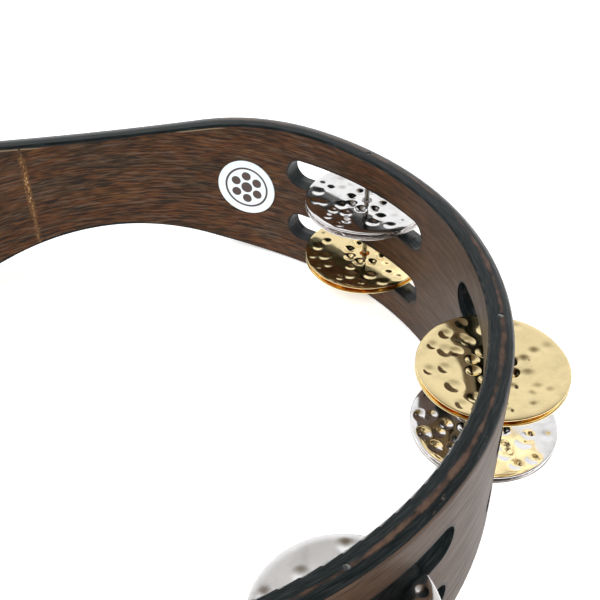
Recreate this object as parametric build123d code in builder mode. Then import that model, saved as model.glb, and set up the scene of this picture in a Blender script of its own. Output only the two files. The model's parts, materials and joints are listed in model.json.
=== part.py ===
"""Ten-inch headless tambourine: a bent wood hoop with a narrowed grip and six columns of jingles.

Frame: millimetres, +Z up. The hoop lies on its lower edge, on Z = 0, and the grip faces +Y.
The origin is below the middle of the whole object's box, jingles included.
"""

import os

from build123d import *

os.makedirs("parts", exist_ok=True)

# Hoop: a plain ring in plan, whose wall narrows at the grip.
HOOP_OUTER_RADIUS = 127.0
WALL_THICKNESS = 8.0
HOOP_HEIGHT = 64.0
OUTER_EDGE_RADIUS = 2.5
INNER_EDGE_RADIUS = 0.8
GRIP_HALF_WIDTH = 88.0
GRIP_DEPTH = 10.0

# The joint where the bent hoop's ends meet, filled with glue and wood dust.
SEAM_ANGLE = 105.0
SEAM_WIDTH = 0.9

# Round badge on the inside of the wall, beside the grip.
BADGE_ANGLE = 59.6
BADGE_RADIUS = 12.75
BADGE_THICKNESS = 0.3
BADGE_HEIGHT = 32.5

# Jingle columns: two slots one above the other, on one pin. A slot's round ends are centred
# this many degrees to each side of its pin.
COLUMN_COUNT = 6
FIRST_COLUMN_ANGLE = 32.9
COLUMN_PITCH = -49.16
SLOT_END_TURN = 14.5
SLOT_HEIGHT = 12.4
SLOT_RISE = 13.0

# Pins: driven in from the upper edge, and sunk a little below it.
PIN_RADIUS = 1.0
PIN_FOOT = 4.0
PIN_SUNK = 0.3

# Jingle: a thin hammered dish, rim upward, that stands on the ring of dimples round its hole.
JINGLE_RADIUS = 24.5
JINGLE_HOLE_RADIUS = 1.95
JINGLE_THICKNESS = 0.6
JINGLE_DISH = 1.0
DIMPLE_COUNT = 8
DIMPLE_RING_RADIUS = 6.8
DIMPLE_RADIUS = 1.9
DIMPLE_DEPTH = 1.2
REST_GAP = 0.15

# Sizes that follow from those above.
HOOP_INNER_RADIUS = HOOP_OUTER_RADIUS - WALL_THICKNESS
PIN_CIRCLE_RADIUS = HOOP_OUTER_RADIUS - WALL_THICKNESS / 2
COLUMN_ANGLES = [FIRST_COLUMN_ANGLE + i * COLUMN_PITCH for i in range(COLUMN_COUNT)]
SLOT_CENTRES = {"top": HOOP_HEIGHT / 2 + SLOT_RISE, "bottom": HOOP_HEIGHT / 2 - SLOT_RISE}
STACK_STEP = DIMPLE_DEPTH + JINGLE_THICKNESS + REST_GAP
HALF_PITCH = 180 / DIMPLE_COUNT
CLEAR = 10.0


def outward(angle):
    """Unit vector from the ring's centre at this angle."""
    return Vector(1, 0).rotate(Axis.Z, angle)


# The jingles reach past the hoop at the back, so the ring's centre lies ahead of the origin.
REACH_BACK = max(-PIN_CIRCLE_RADIUS * outward(angle).Y for angle in COLUMN_ANGLES) + JINGLE_RADIUS
RING_CENTRE = Vector(0, (REACH_BACK - HOOP_OUTER_RADIUS) / 2)


def on_ring(angle, radius, height=0.0):
    """Point at this angle and radius from the ring's centre, at this height."""
    return RING_CENTRE + outward(angle) * radius + Vector(0, 0, height)


def facing(angle, radius, height=0.0):
    """Plane at that point which faces outward, its X running round the ring and its Y up."""
    across = outward(angle).cross(Vector(0, 0, -1))
    return Plane(origin=on_ring(angle, radius, height), x_dir=across, z_dir=outward(angle))


def from_axis(point):
    """Distance of a point from the ring's axis."""
    return (point - RING_CENTRE).cross(Vector(0, 0, 1)).length


def finish(name, builder):
    """Label a finished piece and write it."""
    builder.part.label = name
    export_step(builder.part, f"parts/{name}.step")


# The blank is the whole ring, before the seam and the slots are cut.
with BuildPart() as blank:
    # The grip half: its outline from the front dips between tangent arcs, above and below.
    reach = HOOP_OUTER_RADIUS + CLEAR
    with BuildSketch(Plane.XZ.offset(-RING_CENTRE.Y)):
        with BuildLine():
            turn = GRIP_HALF_WIDTH / 2
            for side, edge in ((1, HOOP_HEIGHT), (-1, 0)):
                dip = side * GRIP_DEPTH
                ease_in = TangentArc((-GRIP_HALF_WIDTH, edge), (-turn, edge - dip / 2), tangent=(1, 0))
                middle = TangentArc(ease_in @ 1, (turn, edge - dip / 2), tangent=ease_in % 1)
                TangentArc(middle @ 1, (GRIP_HALF_WIDTH, edge), tangent=middle % 1)
                Line((-reach, edge), (-GRIP_HALF_WIDTH, edge))
                Line((GRIP_HALF_WIDTH, edge), (reach, edge))
            Line((-reach, 0), (-reach, HOOP_HEIGHT))
            Line((reach, 0), (reach, HOOP_HEIGHT))
        make_face()
    extrude(amount=-reach)

    # The other half is level, top and bottom.
    with BuildSketch(Plane.XZ.offset(-RING_CENTRE.Y)):
        Rectangle(2 * reach, HOOP_HEIGHT, align=(Align.CENTER, Align.MIN))
    extrude(amount=reach)

    # Both are cut to the ring, and every edge round it is rounded, more outside than inside.
    with BuildSketch():
        with Locations(RING_CENTRE):
            Circle(HOOP_OUTER_RADIUS)
            Circle(HOOP_INNER_RADIUS, mode=Mode.SUBTRACT)
    extrude(amount=HOOP_HEIGHT, mode=Mode.INTERSECT)
    edge_radii = {HOOP_OUTER_RADIUS: OUTER_EDGE_RADIUS, HOOP_INNER_RADIUS: INNER_EDGE_RADIUS}
    for wall_radius, edge_radius in edge_radii.items():
        on_wall = [
            edge for edge in blank.edges().filter_by(GeomType.LINE, reverse=True)
            if abs(from_axis(edge @ 0.5) - wall_radius) < edge_radius / 2
        ]
        fillet(on_wall, radius=edge_radius)

with BuildSketch() as seam_outline:
    with Locations(Location(on_ring(SEAM_ANGLE, PIN_CIRCLE_RADIUS), (0, 0, SEAM_ANGLE))):
        Rectangle(WALL_THICKNESS + CLEAR, SEAM_WIDTH)

with BuildPart() as seam_filler:
    add(blank.part)
    extrude(seam_outline.sketch, amount=HOOP_HEIGHT, mode=Mode.INTERSECT)
finish("seam_filler", seam_filler)

# From the centre of a slot's round end to a little past its pin, straight across.
half_run = HOOP_OUTER_RADIUS * outward(SLOT_END_TURN).Y + PIN_RADIUS

with BuildPart() as hoop:
    add(blank.part)
    extrude(seam_outline.sketch, amount=HOOP_HEIGHT, mode=Mode.SUBTRACT)
    for angle in COLUMN_ANGLES:
        # Each slot is cut in two halves, so that both its ends stand square to the wall.
        for side in (-1, 1):
            with BuildSketch(facing(angle + side * SLOT_END_TURN, HOOP_INNER_RADIUS - CLEAR)):
                for height in SLOT_CENTRES.values():
                    with Locations((-side * half_run / 2, height)):
                        SlotCenterToCenter(half_run, SLOT_HEIGHT)
            extrude(amount=WALL_THICKNESS + 2 * CLEAR, mode=Mode.SUBTRACT)
        with BuildSketch(Plane.XY.offset(PIN_FOOT)):
            with Locations(on_ring(angle, PIN_CIRCLE_RADIUS)):
                Circle(PIN_RADIUS)
        extrude(amount=HOOP_HEIGHT, mode=Mode.SUBTRACT)
finish("hoop", hoop)

# The badge is a disc bent to the wall that it is stuck to.
with BuildPart() as badge:
    with BuildSketch():
        with Locations(RING_CENTRE):
            Circle(HOOP_INNER_RADIUS)
            Circle(HOOP_INNER_RADIUS - BADGE_THICKNESS, mode=Mode.SUBTRACT)
    extrude(amount=HOOP_HEIGHT)
    with BuildSketch(facing(BADGE_ANGLE, HOOP_INNER_RADIUS - CLEAR, BADGE_HEIGHT)):
        Circle(BADGE_RADIUS)
    extrude(amount=2 * CLEAR, mode=Mode.INTERSECT)
finish("badge", badge)

for column, angle in enumerate(COLUMN_ANGLES, 1):
    with BuildPart() as pin:
        with BuildSketch(Plane.XY.offset(PIN_FOOT)):
            with Locations(on_ring(angle, PIN_CIRCLE_RADIUS)):
                Circle(PIN_RADIUS)
        extrude(amount=HOOP_HEIGHT - PIN_SUNK - PIN_FOOT)
    finish(f"pin_{column}", pin)

# Each dimple is a round dent above, and the same dent one sheet thicker shows as a bump below.
dent_radius = (DIMPLE_RADIUS**2 + DIMPLE_DEPTH**2) / (2 * DIMPLE_DEPTH)
bump_radius = dent_radius + JINGLE_THICKNESS
sheet_middle = DIMPLE_DEPTH + JINGLE_THICKNESS / 2

with BuildPart() as bump:
    Sphere(bump_radius)
    split(bisect_by=Plane.XY.offset(sheet_middle - bump_radius), keep=Keep.BOTTOM)

# One jingle about its own hole, standing on Z = 0 on the bumps under its dimples.
with BuildPart() as jingle:
    under = DIMPLE_DEPTH
    over = under + JINGLE_THICKNESS
    with BuildSketch(Plane.XZ):
        with BuildLine():
            lower_face = TangentArc((0, under), (JINGLE_RADIUS, under + JINGLE_DISH), tangent=(1, 0))
            rim = Line(lower_face @ 1, (JINGLE_RADIUS, over + JINGLE_DISH))
            TangentArc((0, over), rim @ 1, tangent=(1, 0))
            Line((0, under), (0, over))
        make_face()
    revolve(axis=Axis.Z)
    with Locations((0, 0, bump_radius)):
        with PolarLocations(DIMPLE_RING_RADIUS, DIMPLE_COUNT):
            add(bump.part)
            Sphere(dent_radius, mode=Mode.SUBTRACT)
    with BuildSketch():
        Circle(JINGLE_HOLE_RADIUS)
    extrude(amount=over + CLEAR, mode=Mode.SUBTRACT)

# Four jingles to a column, in pairs. The upper one of a pair is turned by half a dimple's pitch,
# so that its bumps stand on the flat between the lower one's dimples.
for column, angle in enumerate(COLUMN_ANGLES, 1):
    for slot, centre in SLOT_CENTRES.items():
        slot_floor = centre - SLOT_HEIGHT / 2
        for level, place in enumerate(("lower", "upper")):
            height = slot_floor + REST_GAP + level * STACK_STEP
            stand = Location(on_ring(angle, PIN_CIRCLE_RADIUS, height), (0, 0, angle + level * HALF_PITCH))
            with BuildPart() as disc:
                add(jingle.part.moved(stand))
            finish(f"jingle_{column}_{slot}_{place}", disc)
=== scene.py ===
"""Looks of the tambourine: stained wood hoop with black painted edges, and hammered jingles.

Everything is in metres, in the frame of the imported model: +Z up, the grip towards +Y.
"""

import json
import math
import random

import bpy
import numpy as np
from mathutils import Matrix, Vector


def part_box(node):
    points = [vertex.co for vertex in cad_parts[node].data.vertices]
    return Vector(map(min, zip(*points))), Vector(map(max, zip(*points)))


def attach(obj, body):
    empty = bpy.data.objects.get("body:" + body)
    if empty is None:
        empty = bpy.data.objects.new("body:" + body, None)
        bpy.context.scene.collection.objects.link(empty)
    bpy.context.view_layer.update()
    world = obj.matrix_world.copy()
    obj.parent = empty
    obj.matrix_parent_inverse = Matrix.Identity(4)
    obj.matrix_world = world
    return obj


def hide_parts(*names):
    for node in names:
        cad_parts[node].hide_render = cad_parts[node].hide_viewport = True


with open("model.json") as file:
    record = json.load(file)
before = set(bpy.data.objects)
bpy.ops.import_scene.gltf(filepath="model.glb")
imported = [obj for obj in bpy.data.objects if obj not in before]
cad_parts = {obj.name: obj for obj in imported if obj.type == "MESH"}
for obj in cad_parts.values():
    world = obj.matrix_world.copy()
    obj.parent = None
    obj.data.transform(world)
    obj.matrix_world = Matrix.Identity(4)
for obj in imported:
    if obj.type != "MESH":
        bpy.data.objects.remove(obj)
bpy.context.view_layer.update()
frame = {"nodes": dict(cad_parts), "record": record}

MM = 0.001

# The ring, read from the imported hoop.
hoop_low, hoop_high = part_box("hoop")
RING_CENTRE = (hoop_low + hoop_high) / 2
OUTER_RADIUS = (hoop_high.x - hoop_low.x) / 2
WALL = 8 * MM
MIDDLE_RADIUS = OUTER_RADIUS - WALL / 2
INNER_RADIUS = OUTER_RADIUS - WALL
SEAM_ANGLE = math.radians(105)

# The grip: its edges dip between tangent arcs of one radius.
HALF_HEIGHT = (hoop_high.z - hoop_low.z) / 2
GRIP_HALF_WIDTH = 88 * MM
GRIP_DEPTH = 10 * MM
GRIP_ARC = ((GRIP_HALF_WIDTH / 2) ** 2 + (GRIP_DEPTH / 2) ** 2) / GRIP_DEPTH

# The edge is sanded to a slight crown under its satin paint, and falls away more outside.
CROWN_OUTER_TILT = 0.34
CROWN_INNER_TILT = 0.04
PAINT_ROUGHNESS = 0.18

# Wood and paint are dull, with a trace of sheen.
DULL = {"Specular_IOR_Level": 0.16, "Sheen_Weight": 0.04, "Sheen_Roughness": 0.30}

# Stretches of the upper edge where a highlight is painted on the bare arris beside the paint: middle and
# half length.
ARRIS_HIGHLIGHT_STRETCHES = ((-42 * MM, 19 * MM), (43 * MM, 9 * MM))

# The slots, two to a column, above and below the middle of the wall.
SLOT_RISE = 13 * MM
SLOT_END_RADIUS = 6.2 * MM
SLOT_END_TURN = math.radians(14.5)

# The badge's print: dots on a ring.
BADGE_DOTS = 6
BADGE_DOT_RING = 5.4 * MM

# The camera, measured from the ring's centre on the floor.
CAMERA_OFFSET = Vector((17.0, -235.2, 247.5)) * MM
CAMERA_HEADING = math.radians(79.0)
CAMERA_PITCH = math.radians(39.25)
CAMERA_ROLL = math.radians(-0.68)
CAMERA_LENS = 56.1

# The floor lies just under the part, and reaches far past it.
FLOOR_HALF_SIZE = 8.0
FLOOR_DROP = 0.2 * MM


class Nodes:
    """A short way to write a node tree."""

    def __init__(self, tree):
        self.tree = tree
        tree.nodes.clear()

    def add(self, kind, inputs=(), **settings):
        """A new node; inputs are (socket, value or output) pairs."""
        node = self.tree.nodes.new(kind)
        for key, value in settings.items():
            setattr(node, key, value)
        for socket, value in inputs:
            self.put(node.inputs[socket], value)
        return node

    def put(self, socket, value):
        """Sets a socket, or links it to an output."""
        if isinstance(value, bpy.types.NodeSocket):
            self.tree.links.new(value, socket)
        else:
            socket.default_value = value

    def math(self, operation, *values, clamp=False):
        """Output of a Math node."""
        inputs = list(enumerate(values))
        return self.add("ShaderNodeMath", inputs, operation=operation, use_clamp=clamp).outputs[0]

    def vector(self, operation, *values):
        """Vector output of a Vector Math node."""
        inputs = list(enumerate(values))
        return self.add("ShaderNodeVectorMath", inputs, operation=operation).outputs["Vector"]

    def scale(self, vector, factor):
        """A vector times a number."""
        inputs = [("Vector", vector), ("Scale", factor)]
        return self.add("ShaderNodeVectorMath", inputs, operation="SCALE").outputs["Vector"]

    def dot(self, a, b):
        """Dot product of two vectors."""
        node = self.add("ShaderNodeVectorMath", [(0, a), (1, b)], operation="DOT_PRODUCT")
        return node.outputs["Value"]

    def length(self, x, y):
        """Length of a flat vector."""
        squares = [self.math("POWER", value, 2.0) for value in (x, y)]
        return self.math("SQRT", self.math("ADD", *squares))

    def split(self, vector):
        """The three parts of a vector."""
        return self.add("ShaderNodeSeparateXYZ", [(0, vector)]).outputs

    def join(self, x, y, z):
        """A vector from three parts."""
        return self.add("ShaderNodeCombineXYZ", [(0, x), (1, y), (2, z)]).outputs[0]

    def noise(self, vector, detail=4.0, roughness=0.55, distortion=0.0):
        """Noise of wavelength about one in the vector's own units."""
        inputs = [("Vector", vector), ("Scale", 1.0), ("Detail", detail)]
        inputs += [("Roughness", roughness), ("Distortion", distortion)]
        return self.add("ShaderNodeTexNoise", inputs).outputs["Fac"]

    def step(self, value, low, high, start=0.0, end=1.0):
        """Smooth step of a value from low to high."""
        inputs = [("Value", value), ("From Min", low), ("From Max", high)]
        inputs += [("To Min", start), ("To Max", end)]
        return self.add("ShaderNodeMapRange", inputs, interpolation_type="SMOOTHSTEP").outputs[0]

    def ramp(self, value, *stops):
        """Colour by value; stops are (place, (red, green, blue))."""
        node = self.add("ShaderNodeValToRGB", [("Fac", value)])
        elements = node.color_ramp.elements
        while len(elements) < len(stops):
            elements.new(0.5)
        for element, (place, colour) in zip(elements, stops):
            element.position = place
            element.color = (*colour, 1.0)
        return node.outputs["Color"]

    def mix(self, factor, a, b, blend="MIX"):
        """Mix of two colours."""
        node = self.add("ShaderNodeMix", data_type="RGBA", blend_type=blend)
        for socket, value in zip((0, 6, 7), (factor, a, b)):
            if isinstance(value, tuple):
                value = (*value, 1.0)
            self.put(node.inputs[socket], value)
        return node.outputs[2]

    def value_mix(self, factor, a, b):
        """Mix of two numbers."""
        return self.add("ShaderNodeMix", [(0, factor), (2, a), (3, b)]).outputs[0]

    def bump(self, height, distance, normal=None):
        """Normal bent by a height in parts of distance."""
        inputs = [("Height", height), ("Distance", distance), ("Strength", 1.0)]
        if normal is not None:
            inputs.append(("Normal", normal))
        return self.add("ShaderNodeBump", inputs).outputs[0]

    def surface(self, **sockets):
        """A Principled shader as the material's output."""
        shader = self.add("ShaderNodeBsdfPrincipled")
        for name, value in sockets.items():
            self.put(shader.inputs[name.replace("_", " ")], value)
        self.add("ShaderNodeOutputMaterial", [("Surface", shader.outputs[0])])


def new_material(name):
    """An empty node material and its tree."""
    material = bpy.data.materials.new(name)
    material.use_nodes = True
    return material, Nodes(material.node_tree)


class RingPlace:
    """Where a shaded point lies on the hoop, as node outputs."""

    def __init__(self, nodes):
        place = nodes.add("ShaderNodeTexCoord").outputs["Object"]
        # turned so that the jump in the angle falls on the seam
        turned = nodes.add(
            "ShaderNodeVectorRotate",
            [("Vector", place), ("Center", tuple(RING_CENTRE)), ("Axis", (0, 0, 1)),
             ("Angle", math.pi - SEAM_ANGLE)],
            rotation_type="AXIS_ANGLE",
        ).outputs[0]
        x, y, self.height = nodes.split(nodes.vector("SUBTRACT", turned, tuple(RING_CENTRE)))
        self.turn = nodes.math("ARCTAN2", y, x)
        self.arc = nodes.math("MULTIPLY", self.turn, MIDDLE_RADIUS)
        self.radius = nodes.length(x, y)
        offset = nodes.vector("SUBTRACT", place, tuple(RING_CENTRE))
        self.across, self.toward_grip, _ = nodes.split(offset)
        self.plan = nodes.vector("MULTIPLY", offset, (1.0, 1.0, 0.0))
        self.outward = nodes.vector("NORMALIZE", self.plan)
        self.normal = nodes.add("ShaderNodeNewGeometry").outputs["Normal"]
        self.facing = nodes.math("ABSOLUTE", nodes.dot(self.normal, self.outward))
        self.upright = nodes.math("ABSOLUTE", nodes.split(self.normal)[2])

    def grain(self, nodes, along, across, **settings):
        """Noise drawn out along the wood's grain; along and across are its wavelengths."""
        parts = [nodes.math("DIVIDE", value, length) for value, length in
                 ((self.arc, along), (self.radius, across), (self.height, across))]
        return nodes.noise(nodes.join(*parts), **settings)


def turned_angle(name):
    """A node's angle round the ring, in the frame that has its jump on the seam."""
    low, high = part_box(name)
    middle = (low + high) / 2 - RING_CENTRE
    angle = math.atan2(middle.y, middle.x) + math.pi - SEAM_ANGLE
    return math.remainder(angle, 2 * math.pi)


def slot_distance(nodes, place):
    """How far a point of the wall lies outside the nearest slot's outline."""
    first, second, last = (turned_angle(name) for name in ("pin_1", "pin_2", "pin_6"))
    pitch = second - first
    columns = nodes.math("DIVIDE", nodes.math("SUBTRACT", place.turn, first), pitch)
    nearest = nodes.math("ROUND", columns)
    last_column = round((last - first) / pitch)
    in_reach = nodes.math("MINIMUM", nodes.math("MAXIMUM", nearest, 0.0), last_column)
    off_pin = nodes.math("ABSOLUTE", nodes.math("SUBTRACT", columns, in_reach))
    off_end = nodes.math("SUBTRACT", nodes.math("MULTIPLY", off_pin, abs(pitch)), SLOT_END_TURN)
    along = nodes.math("MULTIPLY", nodes.math("MAXIMUM", off_end, 0.0), MIDDLE_RADIUS)
    above = nodes.math("SUBTRACT", nodes.math("ABSOLUTE", place.height), SLOT_RISE)
    return nodes.math("SUBTRACT", nodes.length(along, above), SLOT_END_RADIUS)


def edge_depth(nodes, place):
    """How far a point lies inside the hoop's upper or lower edge, which both dip at the grip."""
    across = nodes.math("MINIMUM", nodes.math("ABSOLUTE", place.across), GRIP_HALF_WIDTH)

    def sagitta(run):
        rest = nodes.math("SUBTRACT", GRIP_ARC**2, nodes.math("POWER", run, 2.0))
        return nodes.math("SUBTRACT", GRIP_ARC, nodes.math("SQRT", rest))

    shoulder = sagitta(nodes.math("SUBTRACT", GRIP_HALF_WIDTH, across))
    middle = nodes.math("SUBTRACT", GRIP_DEPTH, sagitta(across))
    in_middle = nodes.math("LESS_THAN", across, GRIP_HALF_WIDTH / 2)
    dip = nodes.value_mix(in_middle, shoulder, middle)
    dip = nodes.math("MULTIPLY", dip, nodes.math("GREATER_THAN", place.toward_grip, 0.0))
    edge = nodes.math("SUBTRACT", HALF_HEIGHT, dip)
    return nodes.math("SUBTRACT", edge, nodes.math("ABSOLUTE", place.height))


def edge_crown(nodes, place):
    """The surface's normal, tilted on the edge's flat land as if that were sanded to a slight crown."""
    off_middle = nodes.math("SUBTRACT", place.radius, MIDDLE_RADIUS)
    outer = nodes.step(off_middle, -0.5 * MM, 2.4 * MM, 0.0, CROWN_OUTER_TILT)
    inner = nodes.step(off_middle, -1 * MM, -3 * MM, 0.0, CROWN_INNER_TILT)
    level = nodes.step(place.upright, 0.85, 0.97)
    tilt = nodes.math("MULTIPLY", nodes.math("SUBTRACT", outer, inner), level)
    crowned = nodes.vector("ADD", place.normal, nodes.scale(place.outward, tilt))
    return nodes.vector("NORMALIZE", crowned)


def black_paint(nodes, place):
    """The edge paint: where it and the painted highlight on the arris beside it lie, its colour with a
    painted sheen, and its brush strokes.
    """
    wander = place.grain(nodes, 9 * MM, 5 * MM, detail=4.0, roughness=0.65)
    cut_round = nodes.step(place.facing, 0.80, 0.90, 1.0, 0.0)
    # the paint ends a little way down the wall
    drift = nodes.noise(nodes.scale(place.plan, 1 / (60 * MM)), detail=2.0)
    line = nodes.step(drift, 0.35, 0.65, 0.9 * MM, 1.7 * MM)
    raggedness = nodes.math("MULTIPLY", nodes.math("SUBTRACT", wander, 0.5), 0.5 * MM)
    line = nodes.math("ADD", line, raggedness)
    depth = edge_depth(nodes, place)
    past_line = nodes.math("SUBTRACT", depth, line)
    mask = nodes.math("MAXIMUM", cut_round, nodes.step(past_line, -0.08 * MM, 0.08 * MM, 1.0, 0.0))

    # a pale highlight is painted on the bare arris just past it, in a few stretches of the upper edge
    off_line = nodes.math("ABSOLUTE", nodes.math("SUBTRACT", past_line, 0.3 * MM))
    outside = []
    for middle, half_length in ARRIS_HIGHLIGHT_STRETCHES:
        from_middle = nodes.math("ABSOLUTE", nodes.math("SUBTRACT", place.across, middle))
        outside.append(nodes.math("SUBTRACT", from_middle, half_length))
    arris_lit = nodes.step(nodes.math("MINIMUM", *outside), 3 * MM, -3 * MM)
    arris_lit = nodes.math("MULTIPLY", arris_lit, nodes.math("GREATER_THAN", place.toward_grip, 0.0))
    arris_lit = nodes.math("MULTIPLY", arris_lit, nodes.math("GREATER_THAN", place.height, 0.0))
    pale = nodes.math("MULTIPLY", nodes.step(off_line, 0.15 * MM, 0.4 * MM, 0.8, 0.0), arris_lit)

    # strokes of the brush and the plies of the wood show as fine lines at one radius
    plies = nodes.noise(nodes.join(
        nodes.math("DIVIDE", place.arc, 7 * MM),
        nodes.math("DIVIDE", place.radius, 0.45 * MM),
        nodes.math("DIVIDE", place.height, 5 * MM),
    ), detail=3.0, roughness=0.6)
    black = nodes.ramp(
        plies,
        (0.32, (0.004, 0.006, 0.006)),
        (0.50, (0.008, 0.011, 0.012)),
        (0.66, (0.019, 0.022, 0.023)),
    )

    # a painted sheen: grey on the outer half of the edge, more and more towards the grip
    outer_half = nodes.step(place.radius, OUTER_RADIUS - 5 * MM, OUTER_RADIUS - 2.6 * MM)
    painted_sheen = nodes.math("MULTIPLY", outer_half, nodes.step(depth, 3 * MM, 1 * MM))
    painted_sheen = nodes.math("MULTIPLY", painted_sheen, nodes.step(place.toward_grip, 25 * MM, 95 * MM))
    black = nodes.mix(painted_sheen, black, (0.074, 0.077, 0.079))

    # rubbed through to brown wood, except at the grip, where the edge is lower
    full_height = nodes.step(nodes.math("ABSOLUTE", place.height), 27 * MM, 31.6 * MM)
    flat_top = nodes.step(place.upright, 0.93, 0.99)
    off_middle = nodes.math("ABSOLUTE", nodes.math("SUBTRACT", place.radius, MIDDLE_RADIUS + 0.4 * MM))
    wear = place.grain(nodes, 26 * MM, 6 * MM, detail=3.0, roughness=0.6)
    reach = nodes.step(wear, 0.34, 0.64, 0.15 * MM, 0.75 * MM)
    speckle = nodes.math("MULTIPLY", nodes.math("SUBTRACT", wander, 0.5), 2.2 * MM)
    inside = nodes.math("SUBTRACT", nodes.math("ADD", reach, speckle), off_middle)
    worn = nodes.step(inside, -0.5 * MM, 0.5 * MM)
    worn = nodes.math("MULTIPLY", nodes.math("MULTIPLY", worn, full_height), flat_top)
    rubbed = nodes.mix(nodes.step(wander, 0.35, 0.65), (0.045, 0.022, 0.014), (0.130, 0.072, 0.048))
    black = nodes.mix(nodes.math("MULTIPLY", worn, 0.60), black, rubbed)

    # small knocks on the outer rounding, where pale wood shows
    knocks = nodes.step(place.grain(nodes, 5 * MM, 1.6 * MM, detail=3.0, roughness=0.7), 0.66, 0.72)
    outer = nodes.step(place.radius, OUTER_RADIUS - 2.6 * MM, OUTER_RADIUS - 1.6 * MM)
    knocks = nodes.math("MULTIPLY", nodes.math("MULTIPLY", knocks, outer), 0.30)
    return mask, pale, nodes.mix(knocks, black, (0.22, 0.17, 0.13)), plies


def bare_wood(nodes, place):
    """Dark walnut stain over a fine dashed grain, with a painted sheen as a greyer, even tone away from the
    grip, and the relief of its pores.
    """
    patches = place.grain(nodes, 26 * MM, 5.0 * MM, detail=3.0, roughness=0.55, distortion=0.6)
    streaks = place.grain(nodes, 18 * MM, 1.5 * MM, detail=3.0, roughness=0.6)
    fibres = place.grain(nodes, 8 * MM, 0.62 * MM, detail=1.0, roughness=0.6)
    dashes = place.grain(nodes, 12 * MM, 0.95 * MM, detail=2.0, roughness=0.6)
    # the figure is strong at the grip, and fades away from it
    figure = nodes.step(place.toward_grip, 10 * MM, 100 * MM, 0.35, 1.0)

    stain = nodes.ramp(
        patches,
        (0.34, (0.043, 0.025, 0.013)),
        (0.46, (0.053, 0.024, 0.010)),
        (0.56, (0.065, 0.024, 0.008)),
        (0.68, (0.070, 0.031, 0.010)),
    )
    # away from the grip the stain gives way to one even, greyer tone: a painted sheen on the wall, which is
    # seen edge-on there
    stain = nodes.mix(nodes.step(place.toward_grip, 15 * MM, 60 * MM), (0.060, 0.034, 0.021), stain)

    def contrast(value, reach):
        """Shading from a noise, around one, by up to reach times the figure."""
        swing = nodes.math("MULTIPLY", nodes.step(value, 0.34, 0.66, -reach, reach), figure)
        return nodes.math("ADD", swing, 1.0)

    shading = nodes.math("MULTIPLY", contrast(streaks, 0.18), contrast(fibres, 0.55))
    colour = nodes.scale(stain, shading)
    pores = nodes.math("MULTIPLY", nodes.step(dashes, 0.57, 0.63), figure)
    colour = nodes.mix(nodes.math("MULTIPLY", pores, 0.8), colour, (0.010, 0.008, 0.007))
    flecks = nodes.math("MULTIPLY", nodes.step(dashes, 0.41, 0.35), figure)
    colour = nodes.mix(nodes.math("MULTIPLY", flecks, 0.45), colour, (0.120, 0.086, 0.066))
    relief = nodes.math("SUBTRACT", nodes.math("MULTIPLY", fibres, 0.5), pores)
    return colour, streaks, relief


def glue(nodes, place):
    """Colour of the seam's glue and dust, and how much of it shows at this height."""
    point = nodes.join(place.arc, place.radius, place.height)
    crumbs = nodes.noise(nodes.scale(point, 1 / (1.2 * MM)), detail=3.0, roughness=0.65)
    lumps = nodes.noise(nodes.scale(point, 1 / (4.5 * MM)), detail=2.0)
    colour = nodes.ramp(
        crumbs,
        (0.36, (0.045, 0.020, 0.008)),
        (0.48, (0.150, 0.070, 0.024)),
        (0.58, (0.330, 0.165, 0.050)),
        (0.68, (0.640, 0.450, 0.260)),
    )
    # thin just under the edge, and again low on the wall
    filled = nodes.math("MULTIPLY", nodes.step(place.height, 22 * MM, 17 * MM),
                        nodes.step(place.height, -14 * MM, -2 * MM, 0.5, 1.0))
    show = nodes.math("MULTIPLY", nodes.step(lumps, 0.30, 0.50, 0.45, 1.0), filled)
    return colour, crumbs, show


def wood_and_paint():
    """Dark stained wood with black painted edges and slots."""
    material, nodes = new_material("stained_wood")
    place = RingPlace(nodes)
    bare, streaks, relief = bare_wood(nodes, place)

    # a ragged, near-black band on the wall round each slot
    edge_wobble = place.grain(nodes, 3 * MM, 2 * MM, detail=3.0, roughness=0.7)
    edge = nodes.math("SUBTRACT", slot_distance(nodes, place), nodes.math("MULTIPLY", edge_wobble, 0.9 * MM))
    bare = nodes.mix(nodes.step(edge, -0.2 * MM, 0.7 * MM, 0.85, 0.0), bare, (0.012, 0.011, 0.011))

    # glue that was rubbed into the grain beside the joint
    off_seam = nodes.math("SUBTRACT", math.pi, nodes.math("ABSOLUTE", place.turn))
    off_seam = nodes.math("MULTIPLY", off_seam, INNER_RADIUS)
    gold, _, show = glue(nodes, place)
    spread = nodes.math("SUBTRACT", off_seam, nodes.math("MULTIPLY", edge_wobble, 1.6 * MM))
    smear = nodes.math("MULTIPLY", nodes.step(spread, -0.1 * MM, 0.9 * MM, 0.85, 0.0), show)
    bare = nodes.mix(smear, bare, nodes.mix(0.6, gold, (0.100, 0.048, 0.018)))

    paint, pale, black, plies = black_paint(nodes, place)
    # the painted highlight on the arris, just past the paint line
    bare = nodes.mix(pale, bare, (0.26, 0.19, 0.12))
    colour = nodes.mix(paint, bare, black)

    lines = nodes.math("MULTIPLY", nodes.math("SUBTRACT", plies, 0.5), 0.8)
    height = nodes.value_mix(paint, relief, lines)
    bare_roughness = nodes.step(streaks, 0.35, 0.65, 0.50, 0.40)
    nodes.surface(
        Base_Color=colour,
        Roughness=nodes.value_mix(paint, bare_roughness, PAINT_ROUGHNESS),
        **DULL,
        Normal=nodes.bump(height, 0.05 * MM, edge_crown(nodes, place)),
    )
    return material


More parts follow.
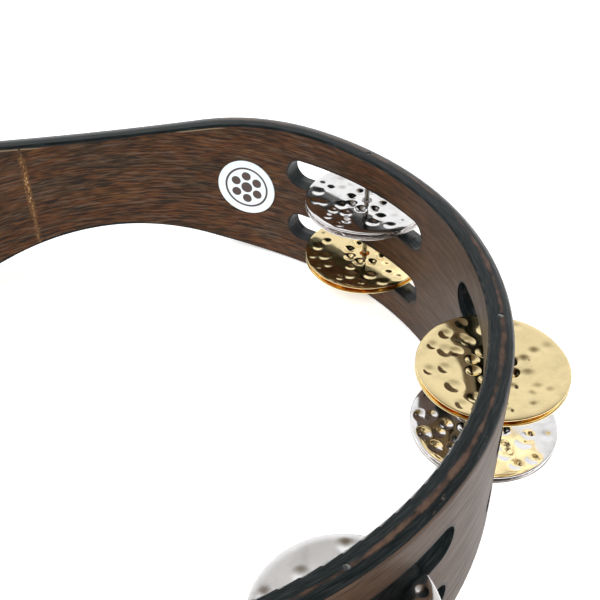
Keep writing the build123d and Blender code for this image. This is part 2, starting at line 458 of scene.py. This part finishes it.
def seam_filling():
    """Golden glue and wood dust, crumbly and uneven, under the same edge paint."""
    material, nodes = new_material("seam_filling")
    place = RingPlace(nodes)
    gold, crumbs, show = glue(nodes, place)
    gold = nodes.mix(show, (0.060, 0.034, 0.022), gold)
    paint, _, black, _ = black_paint(nodes, place)
    nodes.surface(
        Base_Color=nodes.mix(paint, gold, black),
        Roughness=nodes.value_mix(paint, 0.55, PAINT_ROUGHNESS),
        **DULL,
        Normal=nodes.bump(nodes.value_mix(paint, crumbs, 0.5), 0.12 * MM, edge_crown(nodes, place)),
    )
    return material


def badge_print():
    """Pale badge with a plain printed ring, and six dots about a larger one."""
    material, nodes = new_material("badge_print")
    low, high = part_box("badge")
    middle = (low + high) / 2
    toward = math.atan2(middle.y - RING_CENTRE.y, middle.x - RING_CENTRE.x)
    place = nodes.add("ShaderNodeTexCoord").outputs["Object"]
    offset = nodes.vector("SUBTRACT", place, tuple(middle))
    across = nodes.dot(offset, (-math.sin(toward), math.cos(toward), 0.0))
    up = nodes.split(offset)[2]
    distance = nodes.length(across, up)

    def band(value, centre, half_width):
        gap = nodes.math("ABSOLUTE", nodes.math("SUBTRACT", value, centre))
        return nodes.step(gap, half_width - 0.06 * MM, half_width + 0.06 * MM, 1.0, 0.0)

    ring = band(distance, 9.2 * MM, 0.45 * MM)
    turn = nodes.math("ARCTAN2", up, across)
    sector = 2 * math.pi / BADGE_DOTS
    swing = nodes.math("SUBTRACT", nodes.math("FLOORED_MODULO", turn, sector), sector / 2)
    along = nodes.math("MULTIPLY", distance, nodes.math("COSINE", swing))
    along = nodes.math("SUBTRACT", along, BADGE_DOT_RING)
    aside = nodes.math("MULTIPLY", distance, nodes.math("SINE", swing))
    from_dot = nodes.length(along, aside)
    dots = band(from_dot, 0.0, 2.05 * MM)
    hub = band(distance, 0.0, 2.5 * MM)
    ink = nodes.math("MAXIMUM", ring, nodes.math("MAXIMUM", dots, hub))
    haze = nodes.noise(nodes.scale(place, 1 / (3 * MM)), detail=3.0)
    paper = nodes.mix(haze, (0.72, 0.84, 0.92), (0.80, 0.90, 0.96))
    colour = nodes.mix(ink, paper, (0.050, 0.025, 0.020))
    nodes.surface(Base_Color=colour, Roughness=nodes.step(haze, 0.3, 0.7, 0.30, 0.42))
    return material


def bright_metal(name, colour, roughness):
    """Polished metal with faint handling haze and a very fine grain."""
    material, nodes = new_material(name)
    place = nodes.add("ShaderNodeTexCoord").outputs["Object"]
    haze = nodes.noise(nodes.scale(place, 1 / (7 * MM)), detail=5.0, roughness=0.6)
    fine = nodes.noise(nodes.scale(place, 1 / (0.5 * MM)), detail=2.0)
    tarnish = tuple(part * 0.86 for part in colour)
    nodes.surface(
        Base_Color=nodes.mix(nodes.step(haze, 0.45, 0.75), colour, tarnish),
        Metallic=1.0,
        Roughness=nodes.step(haze, 0.35, 0.75, roughness, roughness * 2.0),
        Normal=nodes.bump(fine, 0.003 * MM),
    )
    return material


def pin_finish():
    """Steel pins, whose sunk ends are painted over with the hoop's edge and worn a little in spots."""
    material, nodes = new_material("pin_steel")
    place = RingPlace(nodes)
    point = nodes.join(place.arc, place.radius, place.height)
    haze = nodes.noise(nodes.scale(point, 1 / (1.5 * MM)), detail=3.0)
    head = nodes.step(place.height, 31 * MM, 31.4 * MM)
    bright = nodes.step(nodes.noise(nodes.scale(point, 1 / (2.5 * MM)), detail=1.0), 0.52, 0.60)
    covered = nodes.math("SUBTRACT", 1.0, nodes.math("MULTIPLY", bright, 0.15))
    painted = nodes.math("MULTIPLY", head, covered)
    steel = nodes.mix(haze, (0.60, 0.59, 0.57), (0.78, 0.77, 0.75))
    nodes.surface(
        Base_Color=nodes.mix(painted, steel, (0.022, 0.025, 0.027)),
        Metallic=nodes.math("SUBTRACT", 1.0, painted),
        Roughness=nodes.step(haze, 0.35, 0.65, 0.10, 0.20),
        Normal=nodes.bump(haze, 0.005 * MM),
    )
    return material


# The hammered jingle: a thin dish on a polar grid.
SHEET = 0.6 * MM
DISH = 1.0 * MM
HOLE_RADIUS = 1.95 * MM
STAND_DEPTH = 1.2 * MM
STAND_SIZE = 2.5 * MM
STAND_RING = 6.8 * MM
STAND_COUNT = 8
RIM_WIDTH = {"upper": 2.2 * MM, "lower": 3.4 * MM}
RIM_DROP = {"upper": 0.28 * MM, "lower": 0.75 * MM}
RIM_WAVE_REACH = 9 * MM
MISSING_SHARE = 0.14
SWELL_COUNT = 26
RADIAL_STEPS = 46
ROUND_STEPS = 150
EDGE_STEPS = 3


def hammer_marks(rng, turn):
    """Dimples as (x, y, radius, depth): the ring that the jingle stands on, turned, then scattered ones."""
    marks = []
    for i in range(STAND_COUNT):
        angle = turn + 2 * math.pi * i / STAND_COUNT
        x, y = STAND_RING * math.cos(angle), STAND_RING * math.sin(angle)
        marks.append((x, y, STAND_SIZE * rng.uniform(0.94, 1.08), STAND_DEPTH))
    rings = (
        # ring radius, count, mean dimple radius, mean depth
        (11.8 * MM, 8, 2.8 * MM, 0.57 * MM),
        (16.2 * MM, 12, 2.7 * MM, 0.52 * MM),
        (20.6 * MM, 15, 2.4 * MM, 0.45 * MM),
    )
    for ring, count, size, depth in rings:
        start = rng.uniform(0, 2 * math.pi)
        for i in range(count):
            if rng.random() < MISSING_SHARE:
                continue
            angle = start + 2 * math.pi * (i + rng.uniform(-0.3, 0.3)) / count
            out = ring + rng.uniform(-1.2, 1.2) * MM
            marks.append((
                out * math.cos(angle),
                out * math.sin(angle),
                size * rng.uniform(0.72, 1.25),
                depth * rng.uniform(0.7, 1.3),
            ))
    return marks


def sheet_height(x, y, marks, waves, ripples, rim_radius, rim):
    """Height of the sheet's underside over its flat middle, before it is lifted onto its bumps."""
    distance = np.hypot(x, y)
    height = DISH * (distance / rim_radius) ** 2
    turned = np.clip((distance - (rim_radius - RIM_WIDTH[rim])) / RIM_WIDTH[rim], 0, 1)
    height -= RIM_DROP[rim] * turned**2
    for mark_x, mark_y, size, depth in marks:
        near = np.clip(1 - ((x - mark_x) ** 2 + (y - mark_y) ** 2) / size**2, 0, 1)
        height -= depth * near**1.5
    fade = np.clip((rim_radius - distance) / (3 * MM), 0, 1)
    for wave_x, wave_y, size, rise in waves:
        height += fade * rise * np.exp(-((x - wave_x) ** 2 + (y - wave_y) ** 2) / size**2)
    outer = np.clip(1 - (rim_radius - distance) / RIM_WAVE_REACH, 0, 1) ** 2
    around = np.arctan2(y, x)
    for count, phase, rise in ripples:
        height += outer * rise * np.cos(count * around + phase)
    return height


def jingle_mesh(name, seed, rim_radius, turn, rim):
    """One hammered jingle about its own hole, standing on Z = 0, as a closed mesh."""
    rng = random.Random(seed)
    marks = hammer_marks(rng, turn)
    waves = []
    for _ in range(SWELL_COUNT):
        angle, out = rng.uniform(0, 2 * math.pi), rng.uniform(9, 22) * MM
        size, rise = rng.uniform(2.5, 4.5) * MM, rng.uniform(-0.10, 0.10) * MM
        waves.append((out * math.cos(angle), out * math.sin(angle), size, rise))
    ripples = [(count, rng.uniform(0, 2 * math.pi), rng.uniform(0.6, 1.0) * rise * MM)
               for count, rise in ((2, 0.14), (5, 0.09), (9, 0.06), (14, 0.035))]

    # the section is a loop: out along the top, round the rim, back underneath, round the hole
    half = SHEET / 2
    radii = np.linspace(HOLE_RADIUS + half, rim_radius - half, RADIAL_STEPS)
    arc = np.pi * np.arange(1, EDGE_STEPS + 1) / (EDGE_STEPS + 1)
    out = np.concatenate([
        radii,
        radii[-1] + half * np.sin(arc),
        radii[::-1],
        radii[0] - half * np.sin(arc),
    ])
    lift = np.concatenate([
        np.full(RADIAL_STEPS, half),
        half * np.cos(arc),
        np.full(RADIAL_STEPS, -half),
        -half * np.cos(arc),
    ])
    turns = np.linspace(0, 2 * np.pi, ROUND_STEPS, endpoint=False)
    x = np.outer(out, np.cos(turns))
    y = np.outer(out, np.sin(turns))
    limit = np.clip(out, radii[0], radii[-1])[:, None]
    scale = limit / out[:, None]
    z = sheet_height(x * scale, y * scale, marks, waves, ripples, rim_radius, rim)
    z = z + STAND_DEPTH + half + lift[:, None]
    points = np.stack([x, y, z], axis=-1).reshape(-1, 3)

    count = len(out)
    i, j = np.meshgrid(np.arange(count), np.arange(ROUND_STEPS), indexing="ij")
    next_i, next_j = (i + 1) % count, (j + 1) % ROUND_STEPS
    corners = np.stack([
        i * ROUND_STEPS + j,
        next_i * ROUND_STEPS + j,
        next_i * ROUND_STEPS + next_j,
        i * ROUND_STEPS + next_j,
    ], axis=-1).reshape(-1, 4)

    mesh = bpy.data.meshes.new(name)
    mesh.from_pydata(points.tolist(), [], corners.tolist())
    mesh.shade_smooth()
    mesh.update()
    return mesh


def paint_node(name, material):
    """Gives a CAD node that stays in view its finish."""
    node = frame["nodes"][name]
    node.data.materials.clear()
    node.data.materials.append(material)
    for polygon in node.data.polygons:
        polygon.material_index = 0


def place_jingles(metals):
    """A hammered jingle in place of every plain one."""
    names = sorted(name for name in frame["nodes"] if name.startswith("jingle_"))
    boxes = {name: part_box(name) for name in names}
    rim_radius = max((high.x - low.x) / 2 for low, high in boxes.values())
    slots = {part["node"]: part["material_slot"] for part in frame["record"]["subparts"]}
    for seed, name in enumerate(names):
        low, high = boxes[name]
        centre = (low + high) / 2
        turn = math.atan2(centre.y - RING_CENTRE.y, centre.x - RING_CENTRE.x)
        rim = name.rsplit("_", 1)[1]
        if rim == "upper":
            turn += math.pi / STAND_COUNT
        mesh = jingle_mesh(f"hammered_{name}", seed, rim_radius, turn, rim)
        mesh.materials.append(metals[slots[name]])
        piece = bpy.data.objects.new(f"hammered_{name}", mesh)
        bpy.context.scene.collection.objects.link(piece)
        piece.location = (centre.x, centre.y, low.z)
        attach(piece, name)
        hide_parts(name)


def make_camera():
    """The camera, over the ring's near side."""
    forward = Vector((
        math.cos(CAMERA_PITCH) * math.cos(CAMERA_HEADING),
        math.cos(CAMERA_PITCH) * math.sin(CAMERA_HEADING),
        -math.sin(CAMERA_PITCH),
    ))
    level = forward.cross(Vector((0, 0, 1))).normalized()
    above = level.cross(forward)
    right = level * math.cos(CAMERA_ROLL) + above * math.sin(CAMERA_ROLL)
    up = right.cross(forward)
    data = bpy.data.cameras.new("camera")
    data.lens = CAMERA_LENS
    data.sensor_width = 36.0
    data.clip_start = 0.01
    data.clip_end = 50.0
    camera = bpy.data.objects.new("camera", data)
    bpy.context.scene.collection.objects.link(camera)
    rotation = Matrix((right, up, -forward)).transposed().to_4x4()
    floor_centre = Vector((RING_CENTRE.x, RING_CENTRE.y, 0))
    camera.matrix_world = Matrix.Translation(floor_centre + CAMERA_OFFSET) @ rotation
    bpy.context.scene.camera = camera


def make_floor():
    """A plain pale floor."""
    material, nodes = new_material("floor")
    nodes.surface(
        Base_Color=(0.92, 0.92, 0.92, 1.0),
        Roughness=0.8,
        Specular_IOR_Level=0.0,
        Emission_Color=(1.0, 1.0, 1.0, 1.0),
        Emission_Strength=0.38,
    )
    half = FLOOR_HALF_SIZE
    corners = [(-half, -half, 0), (half, -half, 0), (half, half, 0), (-half, half, 0)]
    mesh = bpy.data.meshes.new("floor")
    mesh.from_pydata(corners, [], [(0, 1, 2, 3)])
    mesh.materials.append(material)
    floor = bpy.data.objects.new("floor", mesh)
    floor.location.z = -FLOOR_DROP
    bpy.context.scene.collection.objects.link(floor)


def area_light(name, place, target, size, power):
    """A square soft light that points at a target."""
    data = bpy.data.lights.new(name, "AREA")
    data.shape = "SQUARE"
    data.size = size
    data.energy = power
    lamp = bpy.data.objects.new(name, data)
    # the metals mirror the surroundings, and not the lamps
    lamp.visible_glossy = False
    lamp.location = place
    lamp.rotation_euler = (Vector(target) - Vector(place)).to_track_quat("-Z", "Y").to_euler()
    bpy.context.scene.collection.objects.link(lamp)


def make_light():
    """White surroundings, dim and warm on the viewer's side, with three soft lights."""
    world = bpy.data.worlds.new("studio")
    bpy.context.scene.world = world
    world.use_nodes = True
    nodes = Nodes(world.node_tree)
    direction = nodes.add("ShaderNodeTexCoord").outputs["Generated"]
    viewer = Vector((-0.1, -0.7, 0.7)).normalized()
    toward = nodes.dot(direction, tuple(viewer))
    dimming = nodes.step(toward, -0.15, 0.8)
    light = nodes.mix(dimming, (0.96, 0.96, 0.96), (0.15, 0.12, 0.085))
    background = nodes.add("ShaderNodeBackground", [("Color", light)])
    nodes.add("ShaderNodeOutputWorld", [("Surface", background.outputs[0])])
    area_light("key", (-0.5, 0.3, 0.9), (0, 0, 0), 0.6, 6.0)
    area_light("fill", (0.7, 0.5, 0.7), (0, 0, 0), 0.6, 4.0)
    area_light("front", (-0.1, -0.8, 0.8), (0, 0.05, 0), 0.6, 12.0)


def make_rendering():
    """Plain colours, and enough bounces for light to run between the paired jingles."""
    scene = bpy.context.scene
    scene.view_settings.view_transform = "Standard"
    scene.cycles.max_bounces = 32
    scene.cycles.glossy_bounces = 32


make_camera()
make_floor()
make_light()
make_rendering()

paint_node("hoop", wood_and_paint())
paint_node("seam_filler", seam_filling())
paint_node("badge", badge_print())
pin_steel = pin_finish()
for node_name in frame["nodes"]:
    if node_name.startswith("pin_"):
        paint_node(node_name, pin_steel)
place_jingles({
    "steel_jingle": bright_metal("polished_steel", (0.93, 0.92, 0.92), 0.06),
    "brass_jingle": bright_metal("polished_brass", (0.93, 0.76, 0.42), 0.08),
})
